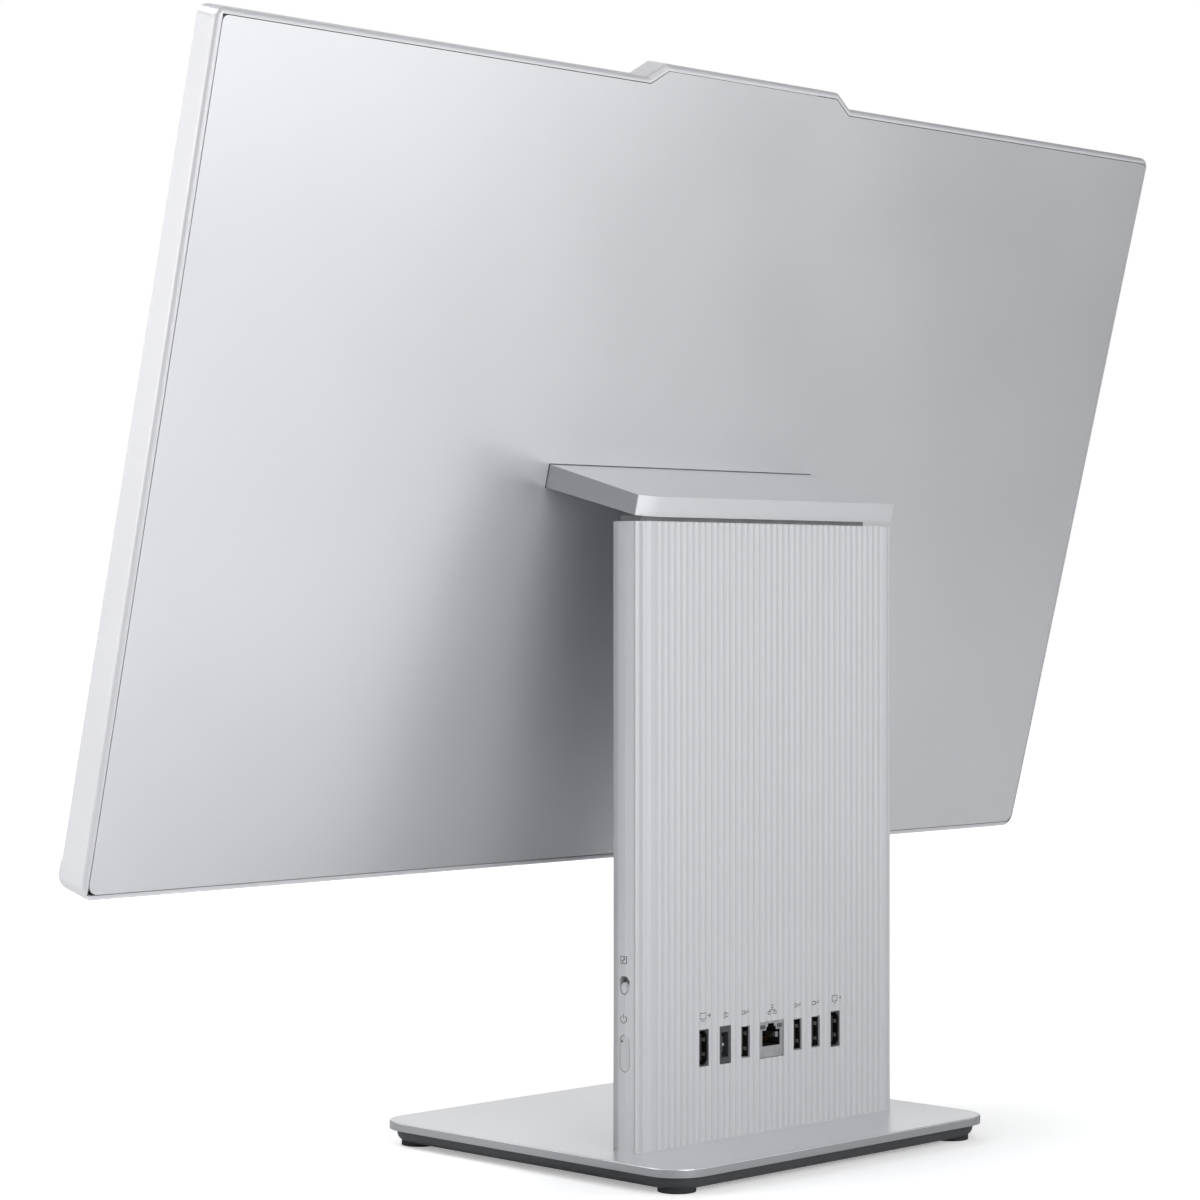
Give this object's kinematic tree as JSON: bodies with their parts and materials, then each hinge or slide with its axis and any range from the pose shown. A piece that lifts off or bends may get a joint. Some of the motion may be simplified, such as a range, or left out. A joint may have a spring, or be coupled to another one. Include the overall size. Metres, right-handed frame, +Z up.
{
  "type": "all-in-one desktop computer",
  "caption": "Wide flat display that tilts on a slim ribbed computer column with rear ports and side buttons, standing on a flat rectangular base.",
  "frame": {"origin": "middle of the base's footprint, on the desk", "axes": "+Z up; the screen faces -Y and the ports face +Y; +X is the side of the buttons, on the user's right"},
  "size_m": [0.6142, 0.1932, 0.4902],
  "materials": {
    "silver_back": "satin metallic paint",
    "silver_rim": "satin metallic paint",
    "silver_shell": "satin metallic paint",
    "base_metal": "fine satin paint",
    "dark_tray": "fine moulded texture",
    "grey_inner": "moulded matt",
    "foot_rubber": "matt",
    "steel": "zinc plated sheet",
    "brass": "turned",
    "copper": "plain copper",
    "fin_aluminium": "plain",
    "circuit_board": "solder mask",
    "chip_black": "moulded resin",
    "black_plastic": "moulded matt",
    "port_metal": "nickel plated",
    "button_silver": "satin metallic paint",
    "light_pipe": "frosted clear",
    "screen_glass": "anti-glare",
    "light_guide": "white"
  },
  "bodies": {
    "stand": {"base_plate": "base_metal", "base_tray": "dark_tray", "base_weight": "steel", "base_feet": "foot_rubber", "base_bolts": "steel", "column_rear_cover": "silver_shell", "side_trim_right": "silver_shell", "side_trim_left": "silver_shell", "column_front_cover": "silver_shell", "column_lid": "grey_inner", "column_frame": "steel", "hinge_bracket": "steel", "hinge_pins": "steel", "friction_washers": "steel", "hinge_nuts": "steel", "motherboard": "circuit_board", "board_standoffs": "brass", "board_screws": "steel", "processor": "chip_black", "memory_sockets": "black_plastic", "memory_modules": "circuit_board", "storage_drive": "circuit_board", "radio_card": "circuit_board", "clock_battery": "steel", "cold_plate": "copper", "heat_pipe_outer": "copper", "heat_pipe_inner": "copper", "cooling_fins": "fin_aluminium", "fan_housing": "black_plastic", "fan_cover": "steel", "fan_stator": "copper", "hdmi_input": "port_metal", "hdmi_output": "port_metal", "usb_ports": "port_metal", "power_socket": "black_plastic", "ethernet_port": "port_metal", "button_board": "circuit_board", "tact_switches": "black_plastic"},
    "display": {"hinge_arms": "steel", "display_bracket": "steel", "hinge_cap": "silver_shell", "cap_floor": "grey_inner", "display_frame": "silver_rim", "display_rear_cover": "silver_back", "chin_cover": "silver_rim", "front_bezel": "black_plastic", "lcd_panel": "screen_glass", "backlight_unit": "light_guide", "display_chassis": "steel", "driver_board": "circuit_board", "speaker_right": "black_plastic", "speaker_left": "black_plastic", "camera_board": "circuit_board", "camera_barrel": "black_plastic", "microphones": "port_metal"},
    "fan": {"fan_rotor": "black_plastic"},
    "power_key": {"power_button": "button_silver", "power_light": "light_pipe"},
    "mode_key": {"mode_button": "button_silver"},
    "shutter": {"camera_shutter": "black_plastic"}
  },
  "joints": [
    {"name": "display_tilt", "type": "hinge", "parent": "stand", "child": "display", "pos_m": [0, 0.0338, 0.2916], "axis": [-1, 0, 0], "range_deg": [-19.3, 0.7]},
    {"name": "fan_spin", "type": "hinge", "parent": "stand", "child": "fan", "pos_m": [0.032, 0.0435, 0.22], "axis": [0, 1, 0], "continuous": true},
    {"name": "power_press", "type": "slide", "parent": "stand", "child": "power_key", "axis": [-1, 0, 0], "range_m": [0, 0.0006], "stiffness_N_per_m": 600},
    {"name": "mode_press", "type": "slide", "parent": "stand", "child": "mode_key", "axis": [-1, 0, 0], "range_m": [0, 0.0006], "stiffness_N_per_m": 600},
    {"name": "shutter_slide", "type": "slide", "parent": "display", "child": "shutter", "axis": [-1, 0, 0], "range_m": [0, 0.0074]}
  ]
}
